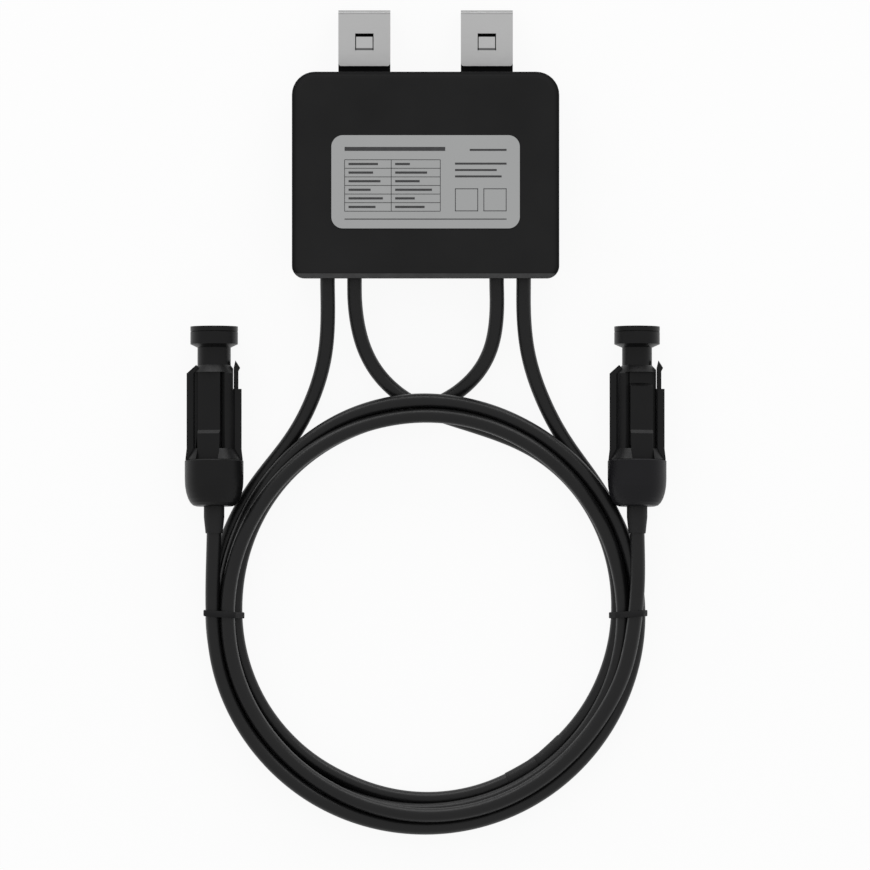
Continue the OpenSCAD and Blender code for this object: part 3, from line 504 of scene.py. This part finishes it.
banded(COPPER, 300, "Z", 0.3, 0.8)
FILM = finish("capacitor_case", (0.6, 0.5, 0.08), 0.45, vary=0.08, patch=150, grain=1200)
CAN = finish("capacitor_sleeve", (0.03, 0.04, 0.1), 0.35, vary=0.15, patch=120, grain=900)
PACKAGE = finish("package_resin", (0.012, 0.012, 0.012), 0.5, vary=0.25, patch=220, grain=2400, bump=0.3)
ALUMINIUM = finish("spreader_aluminium", (0.75, 0.75, 0.77), 0.35, metal=1.0, vary=0.06, patch=90,
                   stretch=(0.1, 1, 1))
THERMAL = finish("thermal_silicone", (0.3, 0.33, 0.42), 0.7, vary=0.12, patch=200, grain=1300, bump=0.2)
TERMINAL = finish("tinned_copper", (0.68, 0.65, 0.58), 0.32, metal=1.0, vary=0.1, patch=200)
CAGE = finish("cage_nylon", (0.035, 0.035, 0.036), 0.45, vary=0.2, patch=180, grain=1500)
CONTACT = finish("contact_plating", (0.72, 0.6, 0.35), 0.28, metal=1.0, vary=0.1, patch=250)

NODE_FINISH = {
    "front_shell": HOUSING, "rear_cover": HOUSING, "cover_gasket": GASKET, "cover_screws": SCREW,
    "label_plate": LABEL, "clip_left": CLIP, "clip_right": CLIP,
    "circuit_board": BOARD, "board_screws": SCREW, "inductor_core": FERRITE, "inductor_winding": COPPER,
    "input_capacitors": FILM, "output_capacitors": CAN, "power_transistors": PACKAGE,
    "bypass_diode": PACKAGE, "control_chip": PACKAGE, "heat_spreader": ALUMINIUM, "thermal_pad": THERMAL,
    "cable_terminals": TERMINAL, "cable_coil": CABLE, "socket_contact": CONTACT, "pin_contact": CONTACT,
    "gland_nut_left": CONNECTOR, "gland_nut_right": NUT_GREY,
}
for side in ("outer_left", "inner_left", "inner_right", "outer_right"):
    NODE_FINISH["grommet_" + side] = RUBBER
    NODE_FINISH["lead_" + side] = CABLE
for side in ("left", "right"):
    NODE_FINISH["connector_body_" + side] = CONNECTOR
    NODE_FINISH["seal_bush_" + side] = RUBBER
    NODE_FINISH["clamp_cage_" + side] = CAGE
    NODE_FINISH["tail_" + side] = CABLE
    NODE_FINISH["tie_" + side] = TIE
for name, material in NODE_FINISH.items():
    for material_slot in nodes[name].material_slots:
        material_slot.material = material


# Pieces
def add_piece(name, data, material):
    data.materials.append(material)
    piece = bpy.data.objects.new(name, data)
    scene.collection.objects.link(piece)
    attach(piece, "root")
    return piece


def add_mesh(name, points, faces, material, smooth_degrees=40.0):
    """A mesh piece from points in millimetres, smooth across edges flatter than an angle."""
    mesh = bpy.data.meshes.new(name)
    mesh.from_pydata([tuple(float(c) * MM for c in p) for p in points], [], faces)
    work = bmesh.new()
    work.from_mesh(mesh)
    bmesh.ops.recalc_face_normals(work, faces=work.faces)
    for face in work.faces:
        face.smooth = True
    for edge in work.edges:
        if len(edge.link_faces) == 2 and edge.calc_face_angle() > math.radians(smooth_degrees):
            edge.smooth = False
    work.to_mesh(mesh)
    work.free()
    return add_piece(name, mesh, material)


def add_cable(name, line):
    data = bpy.data.curves.new(name, "CURVE")
    data.dimensions = "3D"
    data.bevel_depth = CABLE_R * MM
    data.bevel_resolution = CABLE_ROUNDNESS
    data.use_fill_caps = True
    spline = data.splines.new("POLY")
    spline.points.add(len(line) - 1)
    for point, place in zip(spline.points, line):
        point.co = (*(float(c) * MM for c in place), 1.0)
    spline.use_smooth = True
    return add_piece(name, data, CABLE)


# The caps on the cut ends: (radius, distance past the lead's end)
CAP_PROFILE = [
    (3.02, -11), (3.12, -10.95), (3.2, -10.7), (3.2, -8), (3.2, -6), (3.2, -4), (3.2, -2), (3.2, 0),
    (3.2, 2.8), (3.12, 2.97), (2.9, 3.02),
]


def add_end_cap(name, line, other_end, sides=CAP_SIDES):
    """The cap that seals a lead's cut end, swept along the lead and on towards the other lead's end."""
    back = line[::-1]
    at = np.concatenate([[0.0], np.cumsum(np.linalg.norm(np.diff(back, axis=0), axis=1))])
    heading = (line[-1] - line[-2]) / np.linalg.norm(line[-1] - line[-2])
    onward = (other_end - line[-1]) / np.linalg.norm(other_end - line[-1])
    points, faces = [], []
    for radius, past in CAP_PROFILE:
        if past > 0:
            turned = past / CAP_PROFILE[-1][1]
            place = line[-1] + past * onward
            along = Vector((1 - turned) * heading + turned * onward).normalized()
        else:
            place = np.array([np.interp(-past, at, back[:, k]) for k in range(3)])
            behind = np.array([np.interp(CAP_STEP - past, at, back[:, k]) for k in range(3)])
            along = Vector(place - behind).normalized()
        across = along.cross(Vector((0, 0, 1))).normalized()
        up = across.cross(along)
        for k in range(sides):
            a = 2 * math.pi * k / sides
            points.append(Vector(place) + radius * (math.cos(a) * across + math.sin(a) * up))
    rows = len(CAP_PROFILE)
    for i in range(rows - 1):
        for k in range(sides):
            n = (k + 1) % sides
            faces.append((i * sides + k, i * sides + n, (i + 1) * sides + n, (i + 1) * sides + k))
    faces.append(tuple(range(sides)))
    faces.append(tuple(range((rows - 1) * sides, rows * sides)))
    return add_mesh(name, points, faces, CAP)


def crossings(side):
    """Where the cables pass through the plane across the coil's middle, on one side of it."""
    found = []
    for line in LINES.values():
        offset = line[:, 1] - COIL_MIDDLE[1]
        for k in np.nonzero(offset[:-1] * offset[1:] <= 0)[0]:
            t = offset[k] / (offset[k] - offset[k + 1])
            point = line[k] + t * (line[k + 1] - line[k])
            if point[0] * side > 0:
                found.append((point[0], point[2]))
    return np.array(found)


def add_tie(name, side):
    """A band pulled tight round the cables, in the plane across the coil's middle and a little aslant."""
    strands = crossings(side)
    half = TIE_W / 2
    shoulder = TIE_T * 0.75
    rows = [(TIE_SKIN, -half), (shoulder, -half), (TIE_T, TIE_EDGE - half), (TIE_T, half - TIE_EDGE),
            (shoulder, half), (TIE_SKIN, half)]
    points, faces = [], []
    for k in range(TIE_SIDES):
        a = 2 * math.pi * k / TIE_SIDES
        normal = np.array([math.cos(a), math.sin(a)])
        strand = strands[np.argmax(strands @ normal)]
        for grow, along in rows:
            x, z = strand + (CABLE_R + grow) * normal
            points.append((x, COIL_MIDDLE[1] + along + TIE_SLANT * side * (x - side * TIE_X), z))
    n = len(rows)
    for k in range(TIE_SIDES):
        for i in range(n):
            j = (i + 1) % n
            m = (k + 1) % TIE_SIDES
            faces.append((k * n + i, m * n + i, m * n + j, k * n + j))
    return add_mesh(name, points, faces, TIE)


cords = {name: add_cable("cable_" + name, line) for name, line in LINES.items()}
caps = {
    name: add_end_cap("end_cap_" + name, LINES[name], LINES[other][-1])
    for name, other in (("inner_left", "inner_right"), ("inner_right", "inner_left"))
}
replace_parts(cords["outer_left"], "lead_outer_left", "cable_coil", "tail_right")
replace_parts(cords["outer_right"], "lead_outer_right", "tail_left")
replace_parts(cords["inner_left"], "lead_inner_left")
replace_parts(cords["inner_right"], "lead_inner_right")
# Bands round both sides of the coil, in place of the model's ties
for tie_name, side in (("tie_left", -1), ("tie_right", 1)):
    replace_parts(add_tie("band_" + tie_name, side), tie_name)

# Print on the label: plain fields and ruled lines, in millimetres from the label's middle
label_low, label_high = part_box("label_plate")
LABEL_MIDDLE = ((label_low[0] + label_high[0]) / 2 / MM, (label_low[1] + label_high[1]) / 2 / MM)
LABEL_TOP = label_high[2] / MM
PRINT_T = 0.03
PRINT_LEFT, PRINT_RIGHT = -33, 33
PRINT_LOW = -12
# Title, foot line and note, as (left, low, right, high)
SINGLE_BARS = [
    (PRINT_LEFT, 12.6, 8, 14.2), (PRINT_LEFT, -15.4, PRINT_RIGHT, -15.0), (18, 12.6, PRINT_RIGHT, 13.4),
]
RULE = 0.25
BOX_LINE = 0.3
# The table's text bars, a pair of lengths for each row
TABLE_TEXT = ((11, 12), (14, 8), (9, 15), (13, 10), (10, 13), (12, 6))


def table_bars():
    """The ruled table: lines across, lines down and two text bars in each row."""
    split, right, high = -14, 6, 9
    indent, half_text = 1.6, 0.45
    rows = len(TABLE_TEXT)
    bars = []
    for k in range(rows + 1):
        y = PRINT_LOW + (high - PRINT_LOW) * k / rows
        bars.append((PRINT_LEFT, y - RULE / 2, right, y + RULE / 2))
    for x in (PRINT_LEFT, split, right):
        bars.append((x - RULE / 2, PRINT_LOW, x + RULE / 2, high))
    for k, lengths in enumerate(TABLE_TEXT):
        y = PRINT_LOW + (high - PRINT_LOW) * (k + 0.5) / rows
        for x, length in zip((PRINT_LEFT + indent, split + indent), lengths):
            bars.append((x, y - half_text, x + length, y + half_text))
    return bars


def print_bars():
    """All bars of the print: the single ones, the table, three text bars and two empty boxes."""
    bars = SINGLE_BARS + table_bars()
    text_left, first_y, pitch, half_text = 12, 7.4, 2.6, 0.4
    for k, length in enumerate((21, 17, 19)):
        y = first_y - pitch * k
        bars.append((text_left, y - half_text, text_left + length, y + half_text))
    box_high = -2.7
    for x0, x1 in ((text_left, 21.4), (23.6, PRINT_RIGHT)):
        bars.append((x0, PRINT_LOW, x1, PRINT_LOW + BOX_LINE))
        bars.append((x0, box_high - BOX_LINE, x1, box_high))
        bars.append((x0, PRINT_LOW, x0 + BOX_LINE, box_high))
        bars.append((x1 - BOX_LINE, PRINT_LOW, x1, box_high))
    return bars


def add_print():
    points, faces = [], []
    for x0, y0, x1, y1 in print_bars():
        first = len(points)
        for z in (LABEL_TOP, LABEL_TOP + PRINT_T):
            for x, y in ((x0, y0), (x1, y0), (x1, y1), (x0, y1)):
                points.append((LABEL_MIDDLE[0] + x, LABEL_MIDDLE[1] + y, z))
        for face in ((3, 2, 1, 0), (4, 5, 6, 7), (0, 1, 5, 4), (1, 2, 6, 5), (2, 3, 7, 6), (3, 0, 4, 7)):
            faces.append(tuple(first + k for k in face))
    add_mesh("label_print", points, faces, INK)


add_print()

# Stage and light, in metres and watts
FLOOR_REACH = 6.0
FLOOR_DROP = 0.00005
FLOOR_GREY = 0.85
FLOOR_GLOW = 0.92
WORLD_LEVEL = 0.75
KEY_PLACE = (0.0, 1.5, 0.5)
KEY_TARGET = (0.0, -0.1, 0.5)
KEY_SIZE = (3.0, 0.9)
KEY_POWER = 25.4


def direct_rays(tree, share):
    """A share for the rays that show the background: from the camera, or through gloss and glass."""
    path = tree.nodes.new("ShaderNodeLightPath")
    total = path.outputs["Is Camera Ray"]
    for name in ("Is Glossy Ray", "Is Transmission Ray"):
        node = tree.nodes.new("ShaderNodeMath")
        node.operation = "MAXIMUM"
        tree.links.new(total, node.inputs[0])
        tree.links.new(path.outputs[name], node.inputs[1])
        total = node.outputs[0]
    node = tree.nodes.new("ShaderNodeMath")
    node.operation = "MULTIPLY"
    node.inputs[1].default_value = share
    tree.links.new(total, node.inputs[0])
    return node.outputs[0]


def add_floor():
    """A white floor that glows evenly where it is seen, and lights the part as a matte one."""
    mesh = bpy.data.meshes.new("floor")
    corners = [(x * FLOOR_REACH, y * FLOOR_REACH, 0) for x, y in ((-1, -1), (1, -1), (1, 1), (-1, 1))]
    mesh.from_pydata(corners, [], [(0, 1, 2, 3)])
    material = bpy.data.materials.new("floor_white")
    material.use_nodes = True
    tree = material.node_tree
    tree.nodes.clear()
    out = tree.nodes.new("ShaderNodeOutputMaterial")
    mixed = tree.nodes.new("ShaderNodeMixShader")
    matte = tree.nodes.new("ShaderNodeBsdfDiffuse")
    matte.inputs["Color"].default_value = (FLOOR_GREY, FLOOR_GREY, FLOOR_GREY, 1)
    glow = tree.nodes.new("ShaderNodeEmission")
    glow.inputs["Color"].default_value = (1, 1, 1, 1)
    glow.inputs["Strength"].default_value = 1.0
    tree.links.new(direct_rays(tree, FLOOR_GLOW), mixed.inputs[0])
    tree.links.new(matte.outputs[0], mixed.inputs[1])
    tree.links.new(glow.outputs[0], mixed.inputs[2])
    tree.links.new(mixed.outputs[0], out.inputs["Surface"])
    mesh.materials.append(material)
    floor = bpy.data.objects.new("floor", mesh)
    floor.location = (0, 0, -FLOOR_DROP)
    scene.collection.objects.link(floor)


def add_world():
    """A white studio: full white behind the part, and a lower level as light."""
    world = bpy.data.worlds.new("studio")
    world.use_nodes = True
    scene.world = world
    tree = world.node_tree
    back = tree.nodes["Background"]
    back.inputs["Color"].default_value = (1, 1, 1, 1)
    path = tree.nodes.new("ShaderNodeLightPath")
    level = tree.nodes.new("ShaderNodeMix")
    level.data_type = "FLOAT"
    level.inputs[2].default_value = WORLD_LEVEL
    level.inputs[3].default_value = 1.0
    tree.links.new(path.outputs["Is Camera Ray"], level.inputs[0])
    tree.links.new(level.outputs[0], back.inputs["Strength"])


def add_area(name, place, target, size, power):
    data = bpy.data.lights.new(name, "AREA")
    data.shape = "RECTANGLE"
    data.size, data.size_y = size
    data.energy = power
    lamp = bpy.data.objects.new(name, data)
    lamp.location = place
    lamp.rotation_euler = (Vector(target) - Vector(place)).to_track_quat("-Z", "Y").to_euler()
    scene.collection.objects.link(lamp)


add_floor()
add_world()
add_area("key", KEY_PLACE, KEY_TARGET, KEY_SIZE, KEY_POWER)

scene.view_settings.view_transform = "Standard"
